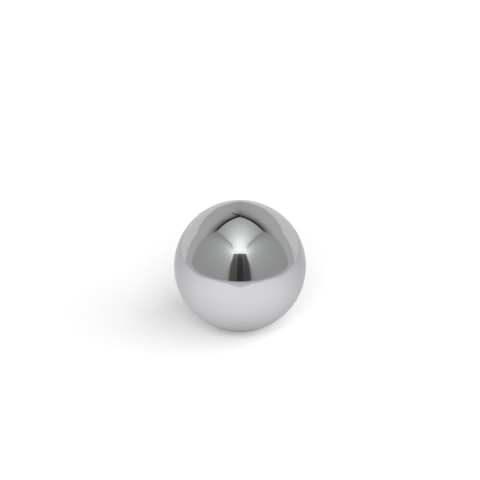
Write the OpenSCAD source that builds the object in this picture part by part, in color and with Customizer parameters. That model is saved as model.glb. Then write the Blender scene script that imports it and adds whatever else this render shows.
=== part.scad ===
// Polished steel ball
// A solid ball of hardened steel, ground and lapped from one blank to a true
// sphere and polished to a mirror. It is one piece: it has no flat, seam,
// bore or coating of its own. The origin is the centre of the ball, with +Z up.

/* [Ball] */
// Nominal diameter of the ball, in millimetres
ball_diameter = 25.4; // [3:0.1:100]

/* [Hidden] */
// Facets around the ball where it is drawn as a mesh
$fn = 180;

// The whole ball, a full sphere about the origin
module ball() {
    color([0.655, 0.657, 0.685])
        sphere(d = ball_diameter);
}

ball();
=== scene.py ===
import math

import bpy
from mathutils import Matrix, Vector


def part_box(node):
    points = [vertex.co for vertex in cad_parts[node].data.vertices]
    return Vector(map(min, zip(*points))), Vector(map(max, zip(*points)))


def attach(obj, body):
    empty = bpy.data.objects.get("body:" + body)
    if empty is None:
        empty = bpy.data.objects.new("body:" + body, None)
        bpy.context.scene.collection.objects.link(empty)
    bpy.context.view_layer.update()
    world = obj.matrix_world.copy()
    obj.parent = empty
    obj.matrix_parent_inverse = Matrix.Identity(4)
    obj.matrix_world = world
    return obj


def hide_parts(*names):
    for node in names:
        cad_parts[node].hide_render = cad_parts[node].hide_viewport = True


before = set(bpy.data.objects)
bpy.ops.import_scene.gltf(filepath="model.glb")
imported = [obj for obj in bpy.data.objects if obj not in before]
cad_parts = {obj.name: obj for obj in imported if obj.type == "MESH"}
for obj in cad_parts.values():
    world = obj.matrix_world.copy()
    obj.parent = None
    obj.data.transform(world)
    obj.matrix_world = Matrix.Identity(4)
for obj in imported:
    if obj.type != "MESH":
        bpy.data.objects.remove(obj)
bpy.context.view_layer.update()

# Ball
# A solid ball of hardened steel. It is ground and lapped from one blank between grooved plates
# until it is a true sphere, and then tumbled to a mirror, so it has no flat, seam, bore or coating.
ball_low, ball_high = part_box("ball")
ball_radius = (ball_high.z - ball_low.z) / 2
ball_divisions = 96
steel_tone = (0.655, 0.657, 0.685, 1.0)
worn_tone = (0.640, 0.642, 0.668, 1.0)
tone_patches_per_metre, tone_detail, tone_span = 120.0, 3.0, (0.40, 0.65)
haze_patches_per_metre, haze_detail, haze_span = 330.0, 4.0, (0.35, 0.70)
haze_levels = (0.045, 0.075)
hairline_detail, hairline_span = 2.0, (0.56, 0.72)
hairline_haze, hairline_depth = 0.05, 1.5e-7
arc_detail, arc_span = 1.0, (0.48, 0.62)
none_to_all = (0.0, 1.0)
# Each run of the lapping has a rolling axis, its hairlines per metre and its patches per metre.
lapping_runs = [
    ((0.93, 0.21, 0.30), 2400.0, 210.0),
    ((-0.32, 0.64, 0.70), 2900.0, 260.0),
    ((0.18, -0.82, 0.54), 2600.0, 170.0),
]


def number_step(tree, operation, *values):
    """One step of arithmetic in a finish, on plain numbers or on the results of other steps."""
    step = tree.nodes.new("ShaderNodeMath")
    step.operation = operation
    for socket, value in zip(step.inputs, values):
        if isinstance(value, bpy.types.NodeSocket):
            tree.links.new(value, socket)
        else:
            socket.default_value = value
    return step.outputs["Value"]


def place_step(tree, operation, place, second=None, scale=None):
    """One step of arithmetic on a place. A length and a dot product give a plain number."""
    step = tree.nodes.new("ShaderNodeVectorMath")
    step.operation = operation
    tree.links.new(place, step.inputs[0])
    if second is not None:
        step.inputs[1].default_value = second
    if scale is not None:
        tree.links.new(scale, step.inputs["Scale"])
    return step.outputs["Value" if operation in ("LENGTH", "DOT_PRODUCT") else "Vector"]


def soft_step(tree, value, span, levels):
    """Goes softly from the first level to the second while a value crosses its span."""
    step = tree.nodes.new("ShaderNodeMapRange")
    step.interpolation_type = "SMOOTHSTEP"
    for name, number in zip(("From Min", "From Max", "To Min", "To Max"), (*span, *levels)):
        step.inputs[name].default_value = number
    tree.links.new(value, step.inputs["Value"])
    return step.outputs["Result"]


def lapped_steel():
    """Mirror steel with a faint cloudiness and the last hairlines of the lapping plates."""
    steel = bpy.data.materials.new("lapped_steel")
    steel.use_nodes = True
    tree = steel.node_tree
    mirror = tree.nodes["Principled BSDF"]
    mirror.inputs["Metallic"].default_value = 1.0
    place = tree.nodes.new("ShaderNodeTexCoord").outputs["Object"]

    def cloud(patches_per_metre, detail):
        """Soft patches through the steel."""
        noise = tree.nodes.new("ShaderNodeTexNoise")
        noise.inputs["Scale"].default_value = patches_per_metre
        noise.inputs["Detail"].default_value = detail
        tree.links.new(place, noise.inputs["Vector"])
        return noise.outputs["Fac"]

    def lapping_arcs(axis, lines_per_metre, patches_per_metre):
        """Hairlines that run round one rolling axis, broken up into arcs by a cloud."""
        lines = tree.nodes.new("ShaderNodeTexNoise")
        lines.noise_dimensions = "1D"
        lines.inputs["Scale"].default_value = lines_per_metre
        lines.inputs["Detail"].default_value = hairline_detail
        tree.links.new(place_step(tree, "DOT_PRODUCT", place, axis), lines.inputs["W"])
        hairlines = soft_step(tree, lines.outputs["Fac"], hairline_span, none_to_all)
        patches = soft_step(tree, cloud(patches_per_metre, arc_detail), arc_span, none_to_all)
        return number_step(tree, "MULTIPLY", hairlines, patches)

    arcs = lapping_arcs(*lapping_runs[0])
    for run in lapping_runs[1:]:
        arcs = number_step(tree, "MAXIMUM", arcs, lapping_arcs(*run))

    tone = tree.nodes.new("ShaderNodeMix")
    tone.data_type = "RGBA"
    tone.inputs["A"].default_value = steel_tone
    tone.inputs["B"].default_value = worn_tone
    worn = soft_step(tree, cloud(tone_patches_per_metre, tone_detail), tone_span, none_to_all)
    tree.links.new(worn, tone.inputs["Factor"])
    tree.links.new(tone.outputs["Result"], mirror.inputs["Base Color"])

    haze = soft_step(tree, cloud(haze_patches_per_metre, haze_detail), haze_span, haze_levels)
    arc_haze = soft_step(tree, arcs, none_to_all, (0.0, hairline_haze))
    tree.links.new(number_step(tree, "ADD", haze, arc_haze), mirror.inputs["Roughness"])

    groove = tree.nodes.new("ShaderNodeBump")
    groove.invert = True
    groove.inputs["Strength"].default_value = 1.0
    groove.inputs["Distance"].default_value = hairline_depth
    tree.links.new(arcs, groove.inputs["Height"])
    tree.links.new(groove.outputs["Normal"], mirror.inputs["Normal"])
    return steel


def lapped_sphere():
    """A cube of square cells blown out to a sphere, so that no pole gathers the faces."""
    tree = bpy.data.node_groups.new("lapped_sphere", "GeometryNodeTree")
    sockets = tree.interface
    radius = sockets.new_socket("Radius", in_out="INPUT", socket_type="NodeSocketFloat")
    edge = sockets.new_socket("Vertices per Edge", in_out="INPUT", socket_type="NodeSocketInt")
    finish = sockets.new_socket("Finish", in_out="INPUT", socket_type="NodeSocketMaterial")
    sockets.new_socket("Ball", in_out="OUTPUT", socket_type="NodeSocketGeometry")
    nodes, links = tree.nodes, tree.links
    given = nodes.new("NodeGroupInput").outputs
    made = nodes.new("NodeGroupOutput").inputs

    blank = nodes.new("GeometryNodeMeshCube")
    blank.inputs["Size"].default_value = (2.0, 2.0, 2.0)
    for side in ("Vertices X", "Vertices Y", "Vertices Z"):
        links.new(given["Vertices per Edge"], blank.inputs[side])

    # A place on the blank counts as an angle, which keeps the cells nearly even on the sphere.
    place = nodes.new("GeometryNodeInputPosition").outputs["Position"]
    angle = place_step(tree, "MULTIPLY", place, (math.pi / 4,) * 3)
    direction = place_step(tree, "NORMALIZE", place_step(tree, "TANGENT", angle))
    ground = nodes.new("GeometryNodeSetPosition")
    links.new(blank.outputs["Mesh"], ground.inputs["Geometry"])
    links.new(place_step(tree, "SCALE", direction, scale=given["Radius"]), ground.inputs["Position"])

    smooth = nodes.new("GeometryNodeSetShadeSmooth")
    links.new(ground.outputs["Geometry"], smooth.inputs["Geometry"])
    real = nodes.new("GeometryNodeRealizeInstances")
    links.new(smooth.outputs["Geometry"], real.inputs["Geometry"])
    finished = nodes.new("GeometryNodeSetMaterial")
    links.new(real.outputs["Geometry"], finished.inputs["Geometry"])
    links.new(given["Finish"], finished.inputs["Material"])
    links.new(finished.outputs["Geometry"], made["Ball"])
    return tree, radius.identifier, edge.identifier, finish.identifier


sphere_tree, radius_input, edge_input, finish_input = lapped_sphere()
ball = bpy.data.objects.new("polished_ball", bpy.data.meshes.new("ball_blank"))
bpy.context.scene.collection.objects.link(ball)
lapping = ball.modifiers.new("lapping", "NODES")
lapping.node_group = sphere_tree
lapping[radius_input] = ball_radius
lapping[edge_input] = ball_divisions + 1
lapping[finish_input] = lapped_steel()
depsgraph = bpy.context.evaluated_depsgraph_get()
lapped_mesh = bpy.data.meshes.new_from_object(ball.evaluated_get(depsgraph), depsgraph=depsgraph)
ball.modifiers.remove(lapping)
ball.data = lapped_mesh
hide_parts("ball")
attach(ball, "root")

# White table
# A wide sheet of matt white board that the ball rests on, flat and without a joint. It glows a
# little, as a board lit through from below does, so that the open floor comes out plain white.
# The ball's mirror passes it over and sees the floor of the tent in its place.
table_z = -ball_radius
table_half = 3.0
board_white = 0.94
board_glow = 0.11


def staged_sheet(name, corners, material):
    """One sheet of the studio, which is no part of the ball."""
    mesh = bpy.data.meshes.new(name)
    mesh.from_pydata(corners, [], [tuple(range(len(corners)))])
    mesh.materials.append(material)
    sheet = bpy.data.objects.new(name, mesh)
    bpy.context.scene.collection.objects.link(sheet)
    return sheet


board = bpy.data.materials.new("white_board")
board.use_nodes = True
board_nodes, board_links = board.node_tree.nodes, board.node_tree.links
board_nodes.clear()
matt = board_nodes.new("ShaderNodeBsdfDiffuse")
matt.inputs["Color"].default_value = (board_white, board_white, board_white, 1.0)
glow = board_nodes.new("ShaderNodeEmission")
glow.inputs["Strength"].default_value = board_glow
both = board_nodes.new("ShaderNodeAddShader")
board_links.new(matt.outputs["BSDF"], both.inputs[0])
board_links.new(glow.outputs["Emission"], both.inputs[1])
board_links.new(both.outputs["Shader"], board_nodes.new("ShaderNodeOutputMaterial").inputs["Surface"])
corner_sides = ((-1, -1), (1, -1), (1, 1), (-1, 1))
table_corners = [(x * table_half, y * table_half, table_z) for x, y in corner_sides]
table = staged_sheet("white_table", table_corners, board)
table.visible_glossy = False

# White surround
# The plain white room behind the table. It is seen, and mirrored, at full white, and it gives the
# table only part of its light, so that the ball keeps a soft shadow.
surround_light = 0.31
surround_seen = 1.0
room = bpy.data.worlds.new("white_surround")
bpy.context.scene.world = room
room.use_nodes = True
room_tree = room.node_tree
path = room_tree.nodes.new("ShaderNodeLightPath")
seen = path.outputs["Is Camera Ray"]
for kind in ("Is Glossy Ray", "Is Transmission Ray"):
    seen = number_step(room_tree, "MAXIMUM", seen, path.outputs[kind])
level = number_step(room_tree, "MULTIPLY_ADD", seen, surround_seen - surround_light, surround_light)
backdrop = room_tree.nodes["Background"]
backdrop.inputs["Color"].default_value = (1.0, 1.0, 1.0, 1.0)
room_tree.links.new(level, backdrop.inputs["Strength"])

# Tent side walls
# Two walls of a tent of white cloth, which stands round the ball and is seen only in its mirror. They
# run from the slit in front to the side corners. Their glow is painted light, brightest beside the top of
# the slit as if from a lamp over it, and painted shade darkens them towards the top.
tent_top = 0.387
wall_foot = -0.003
wall_x, wall_slope = 0.219, 0.535
wall_foot_edge = [(-0.070, -0.004), (-0.017, 0.000), (0.004, 0.010)]
wall_rear_edge = [(0.015, 0.042), (0.027, 0.090), (0.050, 0.170)]
side_corner = (0.247, 0.060)
slit_y = -0.262
wall_front_low = (0.0885, slit_y, wall_foot)
wall_front_mid = (0.0685, slit_y, 0.310)
wall_front_top = (0.098, -0.194, tent_top)
# Centre of the painted glow of the side walls and ceiling, at the top of the slit.
painted_glow_centre = (0.0, slit_y, 0.290)
cloth_tint = (0.985, 1.0, 0.955, 1.0)
tent_sides = ((-1, "left"), (1, "right"))


def lit_cloth(name, tint):
    """Cloth that glows by itself, given with the socket that sets how strongly."""
    cloth = bpy.data.materials.new(name)
    cloth.use_nodes = True
    nodes, links = cloth.node_tree.nodes, cloth.node_tree.links
    nodes.clear()
    light = nodes.new("ShaderNodeEmission")
    light.inputs["Color"].default_value = tint
    links.new(light.outputs["Emission"], nodes.new("ShaderNodeOutputMaterial").inputs["Surface"])
    return cloth, light.inputs["Strength"]


def fading_cloth(name, source, near, far, reach, stretch, tint=cloth_tint, shaded_from=None, top_share=1.0):
    """Lit cloth that fades away from one point, and that may be shaded from a height up to the top."""
    cloth, strength = lit_cloth(name, tint)
    tree = cloth.node_tree
    place = tree.nodes.new("ShaderNodeTexCoord").outputs["Object"]
    offset = place_step(tree, "MULTIPLY", place_step(tree, "SUBTRACT", place, source), stretch)
    away = place_step(tree, "LENGTH", offset)
    nearness = number_step(tree, "EXPONENT", number_step(tree, "DIVIDE", away, -reach))
    bright = number_step(tree, "MULTIPLY_ADD", nearness, near - far, far)
    if shaded_from is not None:
        axes = tree.nodes.new("ShaderNodeSeparateXYZ")
        tree.links.new(place, axes.inputs["Vector"])
        shade = soft_step(tree, axes.outputs["Z"], (shaded_from, tent_top), (1.0, top_share))
        bright = number_step(tree, "MULTIPLY", bright, shade)
    tree.links.new(bright, strength)
    return cloth


def tent_panel(name, corners, material):
    """A panel of the tent: the mirror sees it, and it neither lights nor shades the table."""
    panel = staged_sheet(name, corners, material)
    panel.visible_camera = False
    panel.visible_diffuse = False
    panel.visible_shadow = False


def wall_place(y, z):
    """A place on the right side wall, which runs out from the slit to the side corner."""
    return wall_x + wall_slope * y, y, z


def mirrored(places, side):
    """Places of the right half of the tent, put on the side that is asked for."""
    return [(side * x, y, z) for x, y, z in places]


# Painted light: the side cloth glows most near the top of the slit, and painted shade darkens it towards
# the top of the tent.
side_cloth = fading_cloth("side_cloth", painted_glow_centre, near=1.93, far=0.394, reach=0.0935,
                          stretch=(0.0, 1.0, 1.35), shaded_from=0.10, top_share=0.71)
foot_edge = [wall_place(y, z) for y, z in wall_foot_edge]
rear_edge = [wall_place(y, z) for y, z in wall_rear_edge]
top_side = (*side_corner, tent_top)
side_wall = [wall_front_low] + foot_edge + rear_edge + [top_side, wall_front_top, wall_front_mid]
for side, tag in tent_sides:
    tent_panel(f"tent_{tag}_wall", mirrored(side_wall, side), side_cloth)

# Tent back walls
# Two more walls of the same cloth, which meet in a corner behind the ball, with painted shade towards
# the corner and the ceiling. Each has a gusset behind the foot of the side wall and is sewn to the
# ceiling, and a dark strip of painted shadow lies along that seam. The left one has a dark strip of
# painted shadow along a small fold.
back_corner = (0.0, 0.213)
gusset_front, gusset_top, gusset_gap = -0.090, 0.060, 0.0005
seam_foot, seam_head, seam_end = 0.338, 0.396, 0.05
seam_inset = 0.95
crease_shadow_level = 0.02
fold_shadow_end = (0.047, 0.184)
fold_shadow_edge = [(*back_corner, 0.385), (*back_corner, 0.330), (*fold_shadow_end, 0.210), (*fold_shadow_end, 0.236)]
shadow_tint = (0.98, 0.98, 1.0, 1.0)
floor_only = (1.0, 1.0, 0.0)


def between(start, end, share):
    """A place part of the way along a straight line on the floor."""
    return [first + share * (last - first) for first, last in zip(start, end)]


def drawn_in(places, inset):
    """Places moved a little towards the ball, so that one cloth hangs in front of another."""
    return [(inset * x, inset * y, inset * z) for x, y, z in places]


# Painted shade: the back cloth is darker towards the corner behind the ball and much darker towards the
# ceiling.
back_cloth = fading_cloth("back_cloth", (*back_corner, 0.0), near=0.434, far=0.547, reach=0.071,
                          stretch=floor_only, shaded_from=0.143, top_share=0.11)
# Painted shadow: a near-black strip along the seam where each back wall meets the ceiling.
crease_shadow_cloth, crease_shadow_strength = lit_cloth("crease_shadow_cloth", shadow_tint)
crease_shadow_strength.default_value = crease_shadow_level
rear_y = wall_rear_edge[0][0]
rear_low = wall_place(rear_y, table_z)
top_back = (*back_corner, tent_top)
back_wall = [(*back_corner, table_z), rear_low] + rear_edge + [top_side, top_back]
gusset = [wall_place(gusset_front, table_z), rear_low, wall_place(rear_y, gusset_top),
          wall_place(gusset_front, gusset_top)]
gusset = [(x + gusset_gap, y, z) for x, y, z in gusset]
seam_side = between(side_corner, back_corner, seam_end)
crease_shadow_strip = drawn_in([(*seam_side, seam_head), (*back_corner, seam_head), (*back_corner, seam_foot),
                 (*seam_side, seam_foot)], seam_inset)
for side, tag in tent_sides:
    tent_panel(f"tent_{tag}_back", mirrored(back_wall, side), back_cloth)
    tent_panel(f"tent_{tag}_gusset", mirrored(gusset, side), back_cloth)
    tent_panel(f"tent_{tag}_seam", mirrored(crease_shadow_strip, side), crease_shadow_cloth)
# Painted shadow: a dark strip along a small fold of the left back wall.
tent_panel("tent_left_fold_shadow", mirrored(drawn_in(fold_shadow_edge, seam_inset), -1), crease_shadow_cloth)

# Tent flaps
# The white floor sheet is turned up at the back into two flaps, which lean on the back walls between
# the side corners of the sheet and the corner of the tent. Each rise is a share of that way and a height.
sheet_corner = (0.185, 0.052)
flap_rise = [(0.0, table_z), (0.168, 0.0560), (0.211, 0.0775), (0.449, 0.0732), (0.632, 0.0634),
             (0.778, 0.0490), (0.865, 0.0450), (1.0, 0.0150)]
flap_inset = 0.985
sheet_tint = (1.0, 1.0, 1.0, 1.0)
flap_cloth = fading_cloth("flap_cloth", (*back_corner, 0.0), near=0.76, far=0.73, reach=0.05,
                          stretch=floor_only, tint=sheet_tint)
flap_edge = [(*between(sheet_corner, back_corner, share), z) for share, z in flap_rise]
flap = drawn_in([(*back_corner, table_z)] + flap_edge, flap_inset)
for side, tag in tent_sides:
    tent_panel(f"tent_{tag}_flap", mirrored(flap, side), flap_cloth)

# Tent slit
# The opening between the side walls in front. It is dark inside, with a curtain drawn to each side, a
# hem folded back along the front edge of each wall with painted shade on it, darkest at the slit, and a
# lit valance across the top.
slit_top = 0.275
slit_shoulder = (0.070, slit_y, slit_top)
slit_dark_low, slit_dark_top = 0.0255, 0.0225
hem_foot = (0.1105, -0.215, wall_foot)
hem_tip = (0.0760, slit_y, 0.190)
hem_gap = 0.0006
valance_half = 0.15
curtain_tint = (0.98, 1.0, 0.87, 1.0)
slit_head = (0.0, slit_y, slit_top)
slit_reach = 0.065
height_only = (0.0, 0.0, 1.0)
depth_only = (0.0, 1.0, 0.0)
slit_dark = fading_cloth("slit_dark", slit_head, near=0.13, far=0.040, reach=slit_reach,
                         stretch=height_only, tint=shadow_tint)
left_curtain = fading_cloth("left_curtain", slit_head, near=0.27, far=0.100, reach=slit_reach,
                            stretch=height_only, tint=curtain_tint)
right_curtain = fading_cloth("right_curtain", slit_head, near=0.24, far=0.075, reach=slit_reach,
                             stretch=height_only, tint=shadow_tint)
# Painted shade: the hem is darkest at the edge of the slit and lighter away from it.
edge_shade_cloth = fading_cloth("edge_shade_cloth", slit_head, near=0.25, far=0.405, reach=0.014, stretch=depth_only)
valance_cloth = fading_cloth("valance_cloth", (0.0, slit_y, tent_top), near=1.62, far=0.1, reach=0.346,
                             stretch=(1.0, 1.0, 0.62))
opening = [(slit_dark_low, slit_y, wall_foot), (slit_dark_top, slit_y, slit_top)]
curtain = [opening[0], wall_front_low, slit_shoulder, opening[1]]
hem_shade_strip = [(x - hem_gap, y, z) for x, y, z in (wall_front_low, hem_foot, hem_tip)]
top_front = (valance_half, slit_y, tent_top)
valance = [slit_shoulder, wall_front_mid, top_front]
for (side, tag), curtain_cloth in zip(tent_sides, (left_curtain, right_curtain)):
    tent_panel(f"slit_{tag}_curtain", mirrored(curtain, side), curtain_cloth)
    tent_panel(f"slit_{tag}_hem", mirrored(hem_shade_strip, side), edge_shade_cloth)
tent_panel("slit_opening", opening + mirrored(opening[::-1], -1), slit_dark)
tent_panel("slit_valance", valance + mirrored(valance[::-1], -1), valance_cloth)

# Tent ceiling
# The roof of the tent, one flat white cloth from the slit to the corner at the back. Its glow is painted
# light, with a painted highlight at its front edge as if from a lamp hanging under it.
top_cloth = fading_cloth("top_cloth", painted_glow_centre, near=3.8, far=0.369, reach=0.154,
                         stretch=(1.92, 1.0, 1.83))
ceiling = [top_front, wall_front_top, top_side]
tent_panel("tent_ceiling", ceiling + [top_back] + mirrored(ceiling[::-1], -1), top_cloth)

# Tent floor
# The floor cloth of the tent with a white sheet laid on it, as the ball's mirror sees them. The sheet has
# a notch in front, is lit in a pool before the ball, and is shaded close round the foot of the ball.
sheet_drop = 0.00001
notch_tip = (0.0, -0.083)
sheet_edge = [(0.023, -0.110), (0.050, -0.150), (0.145, -0.155), (0.140, -0.030), sheet_corner]
pool_y = -0.064
pool_span, pool_levels = (0.03, 0.20), (1.02, 0.92)
round_span, round_levels = (-1.1, 0.9), (1.0, 0.62)
shade_depth, shade_least = 1.42, 0.02
shade_reach = 0.50 * ball_radius
behind = 0.5


def shaded_sheet():
    """White cloth with the pool of light, darker behind the ball and darkest close round its foot."""
    cloth, strength = lit_cloth("white_sheet", sheet_tint)
    tree = cloth.node_tree

    def distance(across, along):
        """A straight distance on the sheet."""
        squares = [number_step(tree, "MULTIPLY", part, part) for part in (across, along)]
        return number_step(tree, "SQRT", number_step(tree, "ADD", *squares))

    def drawn_out(across, along):
        """A distance on the sheet that grows more slowly to the back than to the front."""
        slow = number_step(tree, "MINIMUM", along, number_step(tree, "MULTIPLY", along, behind))
        return distance(across, slow)

    axes = tree.nodes.new("ShaderNodeSeparateXYZ")
    tree.links.new(tree.nodes.new("ShaderNodeTexCoord").outputs["Object"], axes.inputs["Vector"])
    across, along = axes.outputs["X"], axes.outputs["Y"]
    from_pool = drawn_out(across, number_step(tree, "SUBTRACT", along, pool_y))
    pool = soft_step(tree, from_pool, pool_span, pool_levels)
    way_round = number_step(tree, "DIVIDE", along, distance(across, along))
    round_ball = soft_step(tree, way_round, round_span, round_levels)
    away = number_step(tree, "DIVIDE", drawn_out(across, along), -shade_reach)
    shade = number_step(tree, "EXPONENT", away)
    lit = number_step(tree, "MULTIPLY_ADD", shade, -shade_depth, 1.0)
    at_foot = number_step(tree, "MAXIMUM", lit, shade_least)
    bright = number_step(tree, "MULTIPLY", number_step(tree, "MULTIPLY", pool, round_ball), at_foot)
    tree.links.new(bright, strength)
    return cloth


# Painted light: the floor cloth is brightest at the notch in front of the ball and dims away from it.
floor_cloth = fading_cloth("floor_cloth", (*notch_tip, 0.0), near=0.75, far=0.60, reach=0.15,
                           stretch=floor_only, tint=sheet_tint)
tent_panel("tent_floor", [(x, y, z - 2 * sheet_drop) for x, y, z in table_corners], floor_cloth)
sheet_z = table_z - sheet_drop
half_sheet = [(x, y, sheet_z) for x, y in sheet_edge]
sheet_outline = [(*notch_tip, sheet_z)] + half_sheet + [(*back_corner, sheet_z)]
tent_panel("tent_sheet", sheet_outline + mirrored(half_sheet[::-1], -1), shaded_sheet())

# Soft lamps
# Two broad soft lamps outside the tent, one in front over the slit and one to the right of it. The
# ball's shadow lies close under it and runs out to the left. The shares of the lamps and the light of
# the surround add up to one, the level at which a white board looks white.


def soft_lamp(name, turn, elevation, spread, share):
    """A broad lamp far away, turned to the right of the front, with its angles in degrees."""
    sun = bpy.data.lights.new(name, "SUN")
    sun.angle = math.radians(spread)
    sun.energy = share * math.pi / math.sin(math.radians(elevation))
    lamp = bpy.data.objects.new(name, sun)
    lamp.rotation_euler = (math.radians(90.0 - elevation), 0.0, math.radians(turn))
    lamp.visible_glossy = False
    bpy.context.scene.collection.objects.link(lamp)


soft_lamp("front_lamp", turn=0.0, elevation=29.0, spread=50.0, share=0.37)
soft_lamp("right_lamp", turn=70.0, elevation=42.0, spread=68.0, share=0.32)

# Camera
# A long lens that looks down on the ball at the photograph's angle. The ball's outline lies where
# the photograph has it, in a frame of 480 by 480 pixels.
frame_px = 480
ball_radius_px = 65.9
ball_centre_px_y = 265.8
look_down = math.radians(26.0)
sensor_mm, lens_mm = 36.0, 100.0
nearest_seen = 0.01
lens_px = frame_px * lens_mm / sensor_mm
camera_distance = ball_radius * math.hypot(1.0, lens_px / ball_radius_px)
camera_tilt = math.atan((ball_centre_px_y - frame_px / 2) / lens_px)
view = bpy.data.cameras.new("camera")
view.lens = lens_mm
view.sensor_width = sensor_mm
view.clip_start = nearest_seen
camera = bpy.data.objects.new("camera", view)
camera.location = (0.0, -camera_distance * math.cos(look_down), camera_distance * math.sin(look_down))
camera.rotation_euler = (math.pi / 2 - look_down + camera_tilt, 0.0, 0.0)
bpy.context.scene.collection.objects.link(camera)
bpy.context.scene.camera = camera
bpy.context.scene.view_settings.view_transform = "Standard"
